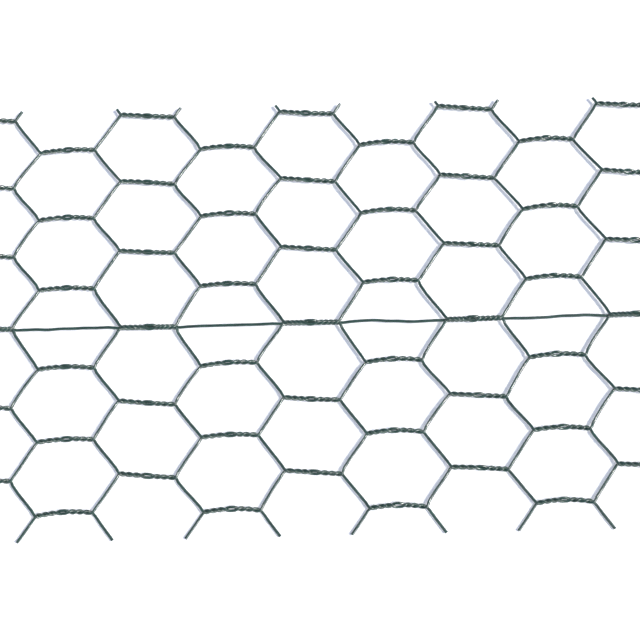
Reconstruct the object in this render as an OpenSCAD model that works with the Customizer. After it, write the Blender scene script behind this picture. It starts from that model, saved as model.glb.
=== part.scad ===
// Piece of hexagonal wire netting (chicken wire), cut from a roll and lying flat.
// Each mesh wire zigzags along the netting (X) and is twisted in turn with the wire above
// and the wire below it. The twists are reverse twists: wound one way up to a long eye in
// the middle, and back the other way after it. One line wire runs straight along the
// netting and is laid into a row of twists as a third strand.
// Millimetres, Z up, origin at the middle of the piece on the surface it lies on.

/* [Mesh] */
// Distance between neighbouring twists across the netting
mesh_size = 25; // [18:0.5:50]
// Distance from one column of twists to the next, along the netting
column_pitch = 28.4; // [24:0.2:60]
// Columns of twists along the piece
columns = 9; // [3:2:11]
// Twists in each column
rows = 6; // [4:1:8]

/* [Wire] */
// Diameter of a mesh wire over its coating
wire_d = 1; // [0.5:0.05:1.2]
// Diameter of the line wire over its coating
line_wire_d = 1; // [0.5:0.05:1.2]

/* [Twist] */
// Length of one half turn along a twist
half_turn_length = 2.45; // [2:0.05:2.8]
// Half turns on each side of the eye
half_turns = 3; // [2:1:3]
// Half turns on each side of the eye in the line wire's row
line_half_turns = 3; // [2:1:3]
// Length of the eye in the middle of a twist, where its turns reverse
eye_length = 4.5; // [3:0.1:6]
// How far each strand stands out at the eye, beyond its place in the turns
eye_spread = 0.15; // [0:0.05:0.4]
// Clearance between two strands that are twisted together
strand_gap = 0.03; // [0.02:0.01:0.2]
// Clearance between the three strands in the line wire's row
line_strand_gap = 0.08; // [0.08:0.01:0.2]

/* [Lay] */
// Angle of the twists in the even columns, anticlockwise from the length of the netting
even_lean = -4.6; // [-6:0.2:6]
// Angle of the twists in the odd columns
odd_lean = 1.2; // [-6:0.2:6]
// How far the twists in the odd columns arch
odd_bow = 0.8; // [-1.2:0.1:1.2]
// Extra distance between the line wire's row and the rows on each side of it
line_row_spread = 1.4; // [0:0.1:2]

/* [Edges] */
// Length of the snipped wires past the outermost twists, along the netting
end_stub = 4.6; // [2:0.1:8]
// Height of the snipped wires above the top row of twists
top_stub = 2.5; // [1.5:0.1:8]
// Depth of the snipped wires below the bottom row of twists
bottom_stub = 9; // [1.5:0.1:11]

/* [Hidden] */
wire_r = wire_d / 2;
line_wire_r = line_wire_d / 2;
// A wire is drawn with four sides, its edges towards the top, the bottom and both sides
wire_sides = 4;

// Strand radius of a pair, and of the three strands of a twist in the line wire's row. A strand
// takes up more room across the twist the steeper it is laid, so the strands stand further out.
side_length = half_turns * half_turn_length;
pair_lay = atan(PI * wire_r / half_turn_length);
pair_r = wire_r / cos(pair_lay) + strand_gap / 2;
trio_wire_d = max(wire_d, line_wire_d);
line_half_turn_length = side_length / line_half_turns;
trio_lay = atan(PI * trio_wire_d / sqrt(3) / line_half_turn_length);
trio_r = (wire_d / cos(trio_lay) + line_strand_gap) / sqrt(3);
// The line wire lies against both mesh wires of its twists, whatever its own diameter
line_spacing = (wire_r + line_wire_r) / cos(trio_lay) + line_strand_gap;
line_strand_r = (sqrt(4 * pow(line_spacing, 2) - 3 * pow(trio_r, 2)) - trio_r) / 2;
trio_lie = max(trio_r + wire_r, line_strand_r + line_wire_r);
// Turn between neighbouring sections along a strand
pair_step = 90;
trio_step = 60;
pair_steps = half_turns * 180 / pair_step;
trio_steps = line_half_turns * 180 / trio_step;
// Turn from the last half turn to the middle of the eye, where no strand of three lies undermost
trio_eye_turn = line_half_turns % 2 == 0 ? trio_step : 0;
// Places of the strands round a twist's axis where it starts, from +Y towards +Z
pair_angles = [90, 270];
trio_angles = [30, 150, 270];

twist_length = eye_length + 2 * side_length;
diagonal_slope = mesh_size / 2 / (column_pitch - twist_length);

// Half rows are counted from the top edge, so even columns have even ranks
last_rank = 2 * rows - 1;
last_wire = last_rank;
line_rank = 2 * floor(rows / 2);
top_height = line_rank * mesh_size / 2 + line_row_spread + top_stub;
bottom_depth = (last_rank - line_rank) * mesh_size / 2 + line_row_spread + bottom_stub;
top_y = (top_height + bottom_depth) / 2;
line_y = top_y - top_height;
end_x = ((columns - 1) * column_pitch + twist_length) / 2 + end_stub;

coat_colour = [0.19, 0.33, 0.29];
line_colour = [0.22, 0.37, 0.32];

function wire_name(wire) = str("mesh_wire_", wire < 10 ? "0" : "", wire);

// Places of the twists: a twist is named by its column and its rank
function is_line_twist(rank) = rank == line_rank;
function column_x(column) = (column - (columns - 1) / 2) * column_pitch;
function rank_y(rank) =
    line_y + (line_rank - rank) * mesh_size / 2 + sign(line_rank - rank) * line_row_spread;
function lean(column, rank) =
    is_line_twist(rank) ? 0 : column % 2 == 0 ? even_lean : odd_lean;
function bow(column) = column % 2 == 0 ? 0 : odd_bow;
function lie_z(rank) = is_line_twist(rank) ? trio_lie : pair_r + wire_r;

// Point on a twist's axis, at a distance along it from its middle
function axis_point(column, rank, along) =
    [
        column_x(column) + along * cos(lean(column, rank)),
        rank_y(rank) + along * sin(lean(column, rank))
            + bow(column) * (1 - pow(2 * along / twist_length, 2)),
        lie_z(rank)
    ];

// Distance along the twist and turn of each section: up to the eye, across it and back
function turn_stations(step, steps, eye_turn) =
    let (up = [for (k = [0 : steps]) [k * side_length / steps - twist_length / 2, k * step]])
    concat(up, [[0, steps * step + eye_turn]], [for (k = [steps : -1 : 0]) [-up[k].x, up[k].y]]);
function pair_stations() = turn_stations(pair_step, pair_steps, pair_step);
function trio_stations() = turn_stations(trio_step, trio_steps, trio_eye_turn);

// Points of one strand of a twist, which starts at an angle round the axis
function strand_points(column, rank, angle, strand_r) =
    [for (station = is_line_twist(rank) ? trio_stations() : pair_stations())
        let (
            radius = strand_r + (station.x == 0 ? eye_spread : 0),
            turned = angle + station.y
        )
        axis_point(column, rank, station.x) + radius * [0, cos(turned), sin(turned)]];

// A wire is the upper strand of a twist in one column and the lower strand in the next
function is_upper(wire, column) = (wire + column) % 2 == 0;
function wire_rank(wire, column) = is_upper(wire, column) ? wire : wire - 1;
function wire_twist(wire, column) =
    let (
        rank = wire_rank(wire, column),
        angles = is_line_twist(rank) ? trio_angles : pair_angles,
        strand_r = is_line_twist(rank) ? trio_r : pair_r
    )
    strand_points(column, rank, is_upper(wire, column) ? angles[0] : angles[1], strand_r);

// End of a snipped diagonal, at an X or a Y that the shears reached
function cut_at_x(point, x, rise) =
    [x, point.y + rise * abs(x - point.x) * diagonal_slope, point.z];
function cut_at_y(point, y, side) =
    [point.x + side * abs(y - point.y) / diagonal_slope, y, point.z];

// Unit vector, and the frame of a section across a wire's direction
function unit(v) = v / norm(v);
function section_frame(direction) =
    let (side = unit(cross([0, 0, 1], direction)))
    [side, cross(direction, side)];

// Corners of the section at a bend between two directions, on the plane that halves the bend.
// The section is stretched in plan, so that the wire keeps its width on both sides of it.
function section(point, before, after, radius) =
    let (
        across = section_frame(unit(before + after)),
        bend = after - before,
        towards = norm(bend) == 0 ? bend : [bend.x, bend.y, 0] / norm(bend),
        stretch = 2 / norm(before + after) - 1
    )
    [for (corner = [0 : wire_sides - 1])
        let (
            angle = 360 * corner / wire_sides,
            offset = radius * (cos(angle) * across[0] + sin(angle) * across[1])
        )
        point + offset + stretch * (offset * towards) * towards];

// Round wire along a line of points, with square ends
module wire(points, radius) {
    last = len(points) - 1;
    directions = [for (k = [0 : last - 1]) unit(points[k + 1] - points[k])];
    corners = [for (k = [0 : last])
        each section(points[k], directions[max(k - 1, 0)], directions[min(k, last - 1)], radius)];
    sides = [for (k = [0 : last - 1], corner = [0 : wire_sides - 1])
        let (
            a = k * wire_sides + corner,
            b = k * wire_sides + (corner + 1) % wire_sides
        )
        each [[a, b + wire_sides, b], [a, a + wire_sides, b + wire_sides]]];
    start_face = [for (corner = [0 : wire_sides - 1]) corner];
    end_face = [for (corner = [wire_sides - 1 : -1 : 0]) last * wire_sides + corner];
    polyhedron(corners, concat([start_face], sides, [end_face]));
}

// One mesh wire from end to end of the piece
module mesh_wire(number) {
    twists = [for (column = [0 : columns - 1]) each wire_twist(number, column)];
    first = twists[0];
    final = twists[len(twists) - 1];
    left = cut_at_x(first, -end_x, is_upper(number, 0) ? 1 : -1);
    right = cut_at_x(final, end_x, is_upper(number, columns - 1) ? 1 : -1);
    color(coat_colour) wire(concat([left], twists, [right]), wire_r);
}

// Short lengths left in the outermost twists where the piece was snipped along an edge
module edge_wires(number, edge_y, first_column) {
    color(coat_colour)
        for (column = [first_column : 2 : columns - 1]) {
            twist = wire_twist(number, column);
            left = cut_at_y(twist[0], edge_y, -1);
            right = cut_at_y(twist[len(twist) - 1], edge_y, 1);
            wire(concat([left], twist, [right]), wire_r);
        }
}

// Straight wire along the netting, the third strand of every twist in its row
module line_wire() {
    twists = [for (column = [0 : 2 : columns - 1])
        each strand_points(column, line_rank, trio_angles[2], line_strand_r)];
    level = [0, twists[0].y, twists[0].z];
    color(line_colour)
        wire(concat([level - [end_x, 0, 0]], twists, [level + [end_x, 0, 0]]), line_wire_r);
}

for (number = [1 : last_wire])
    mesh_wire(number);
edge_wires(0, top_y, 0);  // top_edge_wires
edge_wires(last_wire + 1, -top_y, 1);  // bottom_edge_wires
line_wire();
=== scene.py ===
"""Looks of a flat cut piece of hexagonal netting made of green coated wire."""
import math
import random

import bpy
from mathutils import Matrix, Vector


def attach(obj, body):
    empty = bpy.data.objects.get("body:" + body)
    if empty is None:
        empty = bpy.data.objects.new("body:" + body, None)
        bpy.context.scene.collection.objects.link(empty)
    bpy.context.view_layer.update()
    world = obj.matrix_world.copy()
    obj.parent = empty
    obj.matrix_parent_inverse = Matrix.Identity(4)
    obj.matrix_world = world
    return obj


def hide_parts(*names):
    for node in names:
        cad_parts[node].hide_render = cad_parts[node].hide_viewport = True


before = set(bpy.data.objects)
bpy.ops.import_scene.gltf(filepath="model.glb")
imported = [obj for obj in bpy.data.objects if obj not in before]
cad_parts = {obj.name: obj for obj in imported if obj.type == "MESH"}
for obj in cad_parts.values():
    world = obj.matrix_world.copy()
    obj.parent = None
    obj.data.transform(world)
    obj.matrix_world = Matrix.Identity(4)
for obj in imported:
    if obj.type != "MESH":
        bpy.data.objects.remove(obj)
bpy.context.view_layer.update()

# The netting's own sizes, in metres, as the part has them
mesh_size = 0.025
column_pitch = 0.0284
columns = 9
rows = 6
wire_d = 0.001
line_wire_d = 0.001
half_turn_length = 0.00245
half_turns = 3
line_half_turns = 3
eye_length = 0.0045
even_lean = math.radians(-4.6)
odd_lean = math.radians(1.2)
odd_bow = 0.0008
line_row_spread = 0.0014
end_stub = 0.0046
top_stub = 0.0025
bottom_stub = 0.009

# Sizes and places that follow from them. Half rows are counted from the top edge, as ranks.
wire_r = wire_d / 2
line_wire_r = line_wire_d / 2
twist_length = eye_length + 2 * half_turns * half_turn_length
diagonal_slope = mesh_size / 2 / (column_pitch - twist_length)
last_rank = 2 * rows - 1
line_rank = 2 * (rows // 2)
top_height = line_rank * mesh_size / 2 + line_row_spread + top_stub
bottom_depth = (last_rank - line_rank) * mesh_size / 2 + line_row_spread + bottom_stub
top_y = (top_height + bottom_depth) / 2
line_y = top_y - top_height
end_x = ((columns - 1) * column_pitch + twist_length) / 2 + end_stub

# Round wires in a twist bear on one another, and their soft coats give a little. The shares set
# how far a strand lies from the twist's axis, by the wire's radius.
pair_r_share = 0.9
trio_r_share = 1.06
pair_r = wire_r * pair_r_share
trio_r = wire_r * trio_r_share

# How far a strand stands out sideways at the eye, in a pair and in the line wire's row
eye_spread = 0.00012
line_eye_spread = 0.0003

# Places of the strands round a twist's axis where it starts, from +Y towards +Z, and their turn
# from the last half turn to the middle of the eye, in degrees
half_turn = 180
pair_starts = (90, 270)
trio_starts = (30, 150, 270)
pair_eye_turn = 90
trio_eye_turn = 60

# Unevenness that the twisting and the unrolling leave in the netting. The bunch is how strongly
# the turns on one side of an eye crowd to an end, and the line wire keeps the lean in its row low.
eye_wander = 0.0006
eye_spread_wander = 0.0001
turn_bunch = 0.22
lean_wander = math.radians(1.2)
line_lean_share = 0.5
bow_wander = 0.0002
place_wander = 0.0003

# Bends of the diagonals just past a twist's right end and just before the next one's left end,
# at shares of the diagonal, where it keeps a share of the twist's height over the sheet
start_bend_share = 0.14
end_bend_share = 0.84
bend_height_share = 0.3
falling_start_bend = 0.00028
falling_end_bend = -0.00007
rising_start_bend = 0.0002
rising_end_bend = 0.00011
bend_wander = 0.00033

# Snipped ends bend at a share of the way from the tip to the twist
stub_bend_share = 0.55

# Line wire where it crosses the cells
line_sag = 0.0005
line_ripple = 0.00012

# How far the springy sheet stands off the floor, between the places where it rests
sheet_rise = 0.0009
sheet_span = 0.2
sheet_middle_y = 0.02
rise_wave = 0.0003
wave_length = 0.11

# Coat: its thickness at a cut end. Its runs add to the wire, and so does its fuller coat on the
# straight lengths, where no winding has pressed it. Both are shares of the wire's radius.
coat_thickness = 0.00012
coat_run_share = 0.05
straight_coat_share = 0.08
straight_step = 0.0015

# Each kind of unevenness has its own run of seeds, and each column a run within it
kind_seeds = 10000
column_seeds = 100
lean_kind = 1
place_x_kind = 2
eye_kind = 3
bow_kind = 4
start_bend_kind = 5
end_bend_kind = 6
ripple_y_kind = 7
ripple_z_kind = 8
place_y_kind = 9
eye_spread_kind = 10
sag_kind = 11
left_bunch_kind = 12
right_bunch_kind = 13

# Fineness of the wires: steps along a strand and along the line wire between two twists, pieces
# between two points of a route, and the section, which has four sides and two more a step
steps_a_half_turn = 4
steps_an_eye = 4
steps_a_crossing = 9
route_resolution = 3
section_resolution = 4

# Faces along a wire have four corners, and the faces of its cut ends have more
side_face_corners = 4

# Tints of the finishes
coat_dark = (0.022, 0.048, 0.033, 1)
coat_light = (0.037, 0.093, 0.067, 1)
steel_dark = (0.28, 0.28, 0.27, 1)
steel_light = (0.55, 0.54, 0.52, 1)
paper_white = (0.95, 0.95, 0.95, 1)
glow_white = (1, 1, 1, 1)

# Studio floor, which turns up into a low wall all round, below the light
floor_r = 6
floor_sides = 128
wall_height = 2
cove_r = 1.2
cove_steps = 8
floor_glow = 0.24
wall_glow = 0.7

# The least height of a face's normal on the cylinder's lid, and on the level floor
lid_normal_z = 0.9
level_normal_z = 0.9999

# Light: a warm sun, a white fill and a dim blue sky
key_colour = (1, 0.98, 0.93)
fill_colour = (1, 1, 1)
sky_colour = (0.05, 0.1, 0.25, 1)

# The photograph's view, in metres, degrees and pixels
camera_place = (0.00479, -0.06649, 0.41427)
camera_tilt = 8.88
camera_roll = 0.22
camera_turn = -1.39
camera_nearest = 0.01
sensor_width_mm = 36
photo_px = 640
photo_focal_px = 1200


def wander(column, rank, kind):
    """A fixed unevenness between -1 and 1, of one kind at one place."""
    return random.Random(kind_seeds * kind + column_seeds * column + rank).uniform(-1, 1)


def is_line_twist(rank):
    """Whether the line wire is laid into the twists of a rank."""
    return rank == line_rank


def rank_y(rank):
    """Place of a rank across the netting, a little further out beside the line wire's row."""
    side = (rank < line_rank) - (rank > line_rank)
    return line_y + (line_rank - rank) * mesh_size / 2 + side * line_row_spread


def twist_lean(column, rank):
    """Angle of a twist to the length of the netting."""
    wandering = lean_wander * wander(column, rank, lean_kind)
    if is_line_twist(rank):
        return wandering * line_lean_share
    return (odd_lean if column % 2 else even_lean) + wandering


def sheet_z(x, y):
    """Height of the springy sheet over the floor."""
    across = math.cos(math.pi * (y - sheet_middle_y) / sheet_span)
    along = math.sin(2 * math.pi * x / wave_length)
    return sheet_rise * max(across, 0) + rise_wave * (1 + along) / 2


def lie_z(rank):
    """Height of a twist's axis over the sheet."""
    return trio_r + wire_r if is_line_twist(rank) else pair_r + wire_r


def axis_place(column, rank, along):
    """Point on a twist's axis, at a distance along it from its middle."""
    lean = twist_lean(column, rank)
    bow = (odd_bow if column % 2 else 0) + bow_wander * wander(column, rank, bow_kind)
    x = (column - (columns - 1) / 2) * column_pitch + along * math.cos(lean)
    y = rank_y(rank) + along * math.sin(lean) + bow * (1 - (2 * along / twist_length) ** 2)
    x += place_wander * wander(column, rank, place_x_kind)
    y += place_wander * wander(column, rank, place_y_kind)
    return Vector((x, y, lie_z(rank) + sheet_z(x, y)))


def turned_share(share, bunch):
    """Share of a side's turns at a share of its length, where the turns bunch to one end."""
    return share + bunch * share * (1 - share)


def twist_stations(column, rank):
    """Distance along a twist, turn and swell at each point: up to the eye, across it and back."""
    eye_at = eye_wander * wander(column, rank, eye_kind)
    eye_turn = trio_eye_turn if is_line_twist(rank) else pair_eye_turn
    turns = line_half_turns if is_line_twist(rank) else half_turns
    side_turn = half_turn * turns
    steps_a_side = steps_a_half_turn * turns
    left_bunch = turn_bunch * wander(column, rank, left_bunch_kind)
    right_bunch = turn_bunch * wander(column, rank, right_bunch_kind)
    start, end = -twist_length / 2, twist_length / 2
    eye_start, eye_end = eye_at - eye_length / 2, eye_at + eye_length / 2
    stations = []
    for k in range(steps_a_side + 1):
        share = k / steps_a_side
        turn = side_turn * turned_share(share, left_bunch)
        stations.append((start + (eye_start - start) * share, turn, 0))
    for k in range(1, steps_an_eye):
        share = k / steps_an_eye
        swell = 1 - (2 * share - 1) ** 2
        stations.append((eye_start + eye_length * share, side_turn + eye_turn * swell, swell))
    for k in range(steps_a_side, -1, -1):
        share = k / steps_a_side
        turn = side_turn * turned_share(share, right_bunch)
        stations.append((end + (eye_end - end) * share, turn, 0))
    return stations


def strand_route(column, rank, start_angle):
    """Points of one strand of a twist."""
    strand_r = trio_r if is_line_twist(rank) else pair_r
    eye_swell = line_eye_spread if is_line_twist(rank) else eye_spread
    eye_swell += eye_spread_wander * wander(column, rank, eye_spread_kind)
    route = []
    for along, turn, swell in twist_stations(column, rank):
        turned = math.radians(start_angle + turn)
        side = (strand_r + eye_swell * swell) * math.cos(turned)
        up = strand_r * math.sin(turned)
        route.append(axis_place(column, rank, along) + Vector((0, side, up)))
    return route


def is_upper(wire, column):
    """Whether a wire is the upper strand of its twist in a column, and not the lower one."""
    return (wire + column) % 2 == 0


def wire_twist(wire, column):
    """Points of a wire in its twist in a column."""
    rank = wire if is_upper(wire, column) else wire - 1
    starts = trio_starts if is_line_twist(rank) else pair_starts
    return strand_route(column, rank, starts[0] if is_upper(wire, column) else starts[1])


def diagonal_route(start, end, column, wire):
    """Points of a diagonal between two twists, level for most of its length."""
    rising = end.y > start.y
    start_bend = rising_start_bend if rising else falling_start_bend
    end_bend = rising_end_bend if rising else falling_end_bend
    bends = (
        (start_bend_kind, start_bend_share, start_bend, start),
        (end_bend_kind, end_bend_share, end_bend, end),
    )
    route = []
    for kind, share, bend, nearer in bends:
        place = start.lerp(end, share)
        level = pair_r + wire_r + sheet_z(place.x, place.y)
        place.z = level + (nearer.z - level) * bend_height_share
        place.x -= bend + bend_wander * wander(column, wire, kind)
        route.append(place)
    return route


def stub_route(twist_end, tip):
    """Points of a snipped end, from its tip to the twist."""
    return [tip, tip.lerp(twist_end, stub_bend_share)]


def cut_at_x(point, x, rise):
    """Tip of a diagonal that is snipped at an X, and that rises or falls on its way there."""
    return Vector((x, point.y + rise * abs(x - point.x) * diagonal_slope, point.z))


def cut_at_y(point, y, side):
    """Tip of a diagonal that is snipped at a Y, to the left or the right of its twist."""
    return Vector((point.x + side * abs(y - point.y) / diagonal_slope, y, point.z))


def mesh_wire_route(wire):
    """Points of one mesh wire from end to end of the piece."""
    twists = [wire_twist(wire, column) for column in range(columns)]
    left = cut_at_x(twists[0][0], -end_x, 1 if is_upper(wire, 0) else -1)
    right = cut_at_x(twists[-1][-1], end_x, 1 if is_upper(wire, columns - 1) else -1)
    route = stub_route(twists[0][0], left)
    for column, twist in enumerate(twists):
        route += twist
        if column < columns - 1:
            route += diagonal_route(twist[-1], twists[column + 1][0], column, wire)
    return route + stub_route(twists[-1][-1], right)[::-1]


def edge_wire_route(wire, column, edge_y):
    """Points of a short length left in a twist on the snipped edge."""
    twist = wire_twist(wire, column)
    left = stub_route(twist[0], cut_at_y(twist[0], edge_y, -1))
    right = stub_route(twist[-1], cut_at_y(twist[-1], edge_y, 1))
    return left + twist + right[::-1]


def crossing_route(start, end, crossing):
    """Points of the line wire between two twists, a little wavy where it crosses a cell."""
    route = []
    for step in range(1, steps_a_crossing):
        share = step / steps_a_crossing
        place = start.lerp(end, share)
        place.y -= line_sag * wander(crossing, 0, sag_kind) * math.sin(2 * math.pi * share)
        place.y += line_ripple * wander(crossing, step, ripple_y_kind)
        place.z += line_ripple * wander(crossing, step, ripple_z_kind)
        route.append(place)
    return route


def line_wire_route():
    """Points of the straight wire, the third strand of every twist in its row."""
    twists = [strand_route(column, line_rank, trio_starts[2]) for column in range(0, columns, 2)]
    first, last = twists[0][0], twists[-1][-1]
    route = [Vector((-end_x, first.y, first.z))]
    for k, twist in enumerate(twists):
        route += twist
        if k < len(twists) - 1:
            route += crossing_route(twist[-1], twists[k + 1][0], k)
    return route + [Vector((end_x, last.y, last.z))]


def select_only(piece, kind, is_chosen):
    """Select the faces or corners that are chosen, and stay in edit mode."""
    bpy.ops.object.mode_set(mode="EDIT")
    bpy.ops.mesh.select_mode(type=kind)
    bpy.ops.mesh.select_all(action="DESELECT")
    bpy.ops.object.mode_set(mode="OBJECT")
    for part in piece.data.polygons if kind == "FACE" else piece.data.vertices:
        part.select = is_chosen(part)
    bpy.ops.object.mode_set(mode="EDIT")


def on_straight(route, k):
    """Whether a point lies between two twists, where the points of a route are far apart."""
    gaps = [(route[k] - route[j]).length for j in (k - 1, k + 1) if 0 <= j < len(route)]
    return min(gaps) > straight_step


def lay_wire(curve, route, runs):
    """Smooth line along a route, thicker where the coat has run and on the straight lengths."""
    spline = curve.splines.new("BEZIER")
    spline.bezier_points.add(len(route) - 1)
    spline.resolution_u = route_resolution
    for k, point in enumerate(spline.bezier_points):
        point.co = route[k]
        point.radius = 1 + coat_run_share * runs.random()
        if on_straight(route, k):
            point.radius += straight_coat_share
        point.handle_left_type = "AUTO"
        point.handle_right_type = "AUTO"


def bare_cut_ends(wire):
    """Show the steel core at each cut end, inside a ring of coat."""
    select_only(wire, "FACE", lambda face: len(face.vertices) > side_face_corners)
    bpy.ops.mesh.inset(thickness=coat_thickness, use_individual=True)
    wire.active_material_index = 1
    bpy.ops.object.material_slot_assign()
    bpy.ops.object.mode_set(mode="OBJECT")


def draw_wire(name, routes, radius, finish, cut_finish):
    """Round coated wire along each route of a node, snipped at both ends."""
    bpy.ops.object.select_all(action="DESELECT")
    bpy.ops.curve.primitive_bezier_curve_add()
    wire = bpy.context.object
    wire.name = "coated_" + name
    curve = wire.data
    curve.splines.clear()
    for route in routes:
        lay_wire(curve, route, random.Random(name))
    curve.dimensions = "3D"
    curve.bevel_depth = radius
    curve.bevel_resolution = section_resolution
    curve.use_fill_caps = True
    bpy.ops.object.convert(target="MESH")
    bpy.ops.object.shade_smooth()
    wire.data.materials.clear()
    wire.data.materials.append(finish)
    wire.data.materials.append(cut_finish)
    bare_cut_ends(wire)
    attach(wire, "root")
    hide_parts(name)


def new_finish(name):
    """A material with its nodes, its links and its shader."""
    finish = bpy.data.materials.new(name)
    finish.use_nodes = True
    nodes, links = finish.node_tree.nodes, finish.node_tree.links
    return finish, nodes, links, nodes["Principled BSDF"]


def coat_finish():
    """Dark green plastic coat, glossy, with slight streaks and unevenness."""
    finish, nodes, links, shader = new_finish("green_wire_coat")
    shader.inputs["Roughness"].default_value = 0.38
    shader.inputs["IOR"].default_value = 1.5
    shader.inputs["Specular IOR Level"].default_value = 0.4
    shader.inputs["Coat Weight"].default_value = 1
    shader.inputs["Coat Roughness"].default_value = 0.15
    shader.inputs["Coat IOR"].default_value = 1.55
    place = nodes.new("ShaderNodeTexCoord")
    streaks = nodes.new("ShaderNodeTexNoise")
    streaks.inputs["Scale"].default_value = 420
    streaks.inputs["Detail"].default_value = 4
    tints = nodes.new("ShaderNodeValToRGB")
    tints.color_ramp.elements[0].position = 0.3
    tints.color_ramp.elements[0].color = coat_dark
    tints.color_ramp.elements[1].position = 0.75
    tints.color_ramp.elements[1].color = coat_light
    links.new(place.outputs["Object"], streaks.inputs["Vector"])
    links.new(streaks.outputs["Fac"], tints.inputs["Fac"])
    links.new(tints.outputs["Color"], shader.inputs["Base Color"])
    grain = nodes.new("ShaderNodeTexNoise")
    grain.inputs["Scale"].default_value = 2600
    bump = nodes.new("ShaderNodeBump")
    bump.inputs["Strength"].default_value = 0.25
    bump.inputs["Distance"].default_value = 0.00003
    links.new(place.outputs["Object"], grain.inputs["Vector"])
    links.new(grain.outputs["Fac"], bump.inputs["Height"])
    links.new(bump.outputs["Normal"], shader.inputs["Normal"])
    return finish


def cut_steel_finish():
    """Bare steel of a snipped end, scratched by the shears."""
    finish, nodes, links, shader = new_finish("cut_steel")
    shader.inputs["Metallic"].default_value = 1
    shader.inputs["Roughness"].default_value = 0.38
    place = nodes.new("ShaderNodeTexCoord")
    scratches = nodes.new("ShaderNodeTexNoise")
    scratches.inputs["Scale"].default_value = 5000
    tints = nodes.new("ShaderNodeValToRGB")
    tints.color_ramp.elements[0].color = steel_dark
    tints.color_ramp.elements[1].color = steel_light
    links.new(place.outputs["Object"], scratches.inputs["Vector"])
    links.new(scratches.outputs["Fac"], tints.inputs["Fac"])
    links.new(tints.outputs["Color"], shader.inputs["Base Color"])
    return finish


def paper_finish(name, glow):
    """White paper with a glow that is seen, straight or mirrored, and that lights nothing."""
    finish, nodes, links, shader = new_finish(name)
    shader.inputs["Base Color"].default_value = paper_white
    shader.inputs["Roughness"].default_value = 1
    shader.inputs["Specular IOR Level"].default_value = 0
    shader.inputs["Emission Color"].default_value = glow_white
    sight = nodes.new("ShaderNodeLightPath")
    mirrored = nodes.new("ShaderNodeMath")
    mirrored.operation = "MAXIMUM"
    links.new(sight.outputs["Is Glossy Ray"], mirrored.inputs[0])
    links.new(sight.outputs["Is Transmission Ray"], mirrored.inputs[1])
    seen = nodes.new("ShaderNodeMath")
    seen.operation = "MAXIMUM"
    links.new(sight.outputs["Is Camera Ray"], seen.inputs[0])
    links.new(mirrored.outputs["Value"], seen.inputs[1])
    strength = nodes.new("ShaderNodeMath")
    strength.operation = "MULTIPLY"
    strength.inputs[1].default_value = glow
    links.new(seen.outputs["Value"], strength.inputs[0])
    links.new(strength.outputs["Value"], shader.inputs["Emission Strength"])
    return finish


def set_camera():
    """Camera at the photograph's view: from above, a little from the bottom edge's side."""
    bpy.ops.object.camera_add(location=camera_place)
    camera = bpy.context.object
    camera.rotation_mode = "ZYX"
    camera.rotation_euler = [math.radians(turn) for turn in (camera_tilt, camera_roll, camera_turn)]
    camera.data.sensor_width = sensor_width_mm
    camera.data.lens = sensor_width_mm * photo_focal_px / photo_px
    camera.data.clip_start = camera_nearest
    bpy.context.scene.camera = camera


def light_from(name, azimuth, elevation, strength, colour, softness):
    """Sun from an azimuth, anticlockwise from +X, and a height above the floor, in degrees."""
    turn, height = math.radians(azimuth), math.radians(elevation)
    level = math.cos(height)
    towards = Vector((math.cos(turn) * level, math.sin(turn) * level, math.sin(height)))
    bpy.ops.object.light_add(type="SUN", location=towards)
    lamp = bpy.context.object
    lamp.name = name
    lamp.rotation_euler = towards.to_track_quat("Z", "Y").to_euler()
    lamp.data.energy = strength
    lamp.data.color = colour
    lamp.data.angle = math.radians(softness)
    return lamp


def set_light():
    """High sun from the right, a lower fill that casts no shadow, and a dim sky."""
    light_from("key_light", azimuth=-6, elevation=57, strength=2.85, colour=key_colour, softness=11)
    fill = light_from(
        "fill_light", azimuth=-36, elevation=24, strength=1.2, colour=fill_colour, softness=12
    )
    fill.data.use_shadow = False
    world = bpy.data.worlds.new("soft_sky")
    bpy.context.scene.world = world
    world.use_nodes = True
    sky = world.node_tree.nodes["Background"]
    sky.inputs["Color"].default_value = sky_colour
    sky.inputs["Strength"].default_value = 1


def set_floor():
    """White floor with a coved wall all round, so that it is the background from low down too."""
    bpy.ops.object.select_all(action="DESELECT")
    bpy.ops.mesh.primitive_cylinder_add(vertices=floor_sides, radius=floor_r, depth=wall_height)
    floor = bpy.context.object
    floor.name = "floor"
    bpy.ops.object.mode_set(mode="EDIT")
    bpy.ops.transform.translate(value=(0, 0, wall_height / 2))
    select_only(floor, "FACE", lambda face: face.normal.z > lid_normal_z)
    bpy.ops.mesh.delete(type="ONLY_FACE")
    select_only(floor, "VERT", lambda corner: corner.co.z < wall_height / 2)
    bpy.ops.mesh.select_mode(type="EDGE")
    bpy.ops.mesh.bevel(offset=cove_r, segments=cove_steps)
    bpy.ops.mesh.select_all(action="SELECT")
    bpy.ops.mesh.faces_shade_smooth()
    bpy.ops.object.mode_set(mode="OBJECT")
    floor.data.materials.append(paper_finish("white_floor", floor_glow))
    floor.data.materials.append(paper_finish("white_wall", wall_glow))
    for face in floor.data.polygons:
        face.material_index = int(abs(face.normal.z) < level_normal_z)


bpy.context.scene.view_settings.view_transform = "Standard"
set_camera()
set_light()
set_floor()

coat = coat_finish()
cut_steel = cut_steel_finish()
for number in range(1, last_rank + 1):
    draw_wire(f"mesh_wire_{number:02d}", [mesh_wire_route(number)], wire_r, coat, cut_steel)
top_routes = [edge_wire_route(0, column, top_y) for column in range(0, columns, 2)]
draw_wire("top_edge_wires", top_routes, wire_r, coat, cut_steel)
bottom_routes = [edge_wire_route(last_rank + 1, column, -top_y) for column in range(1, columns, 2)]
draw_wire("bottom_edge_wires", bottom_routes, wire_r, coat, cut_steel)
draw_wire("line_wire", [line_wire_route()], line_wire_r, coat, cut_steel)
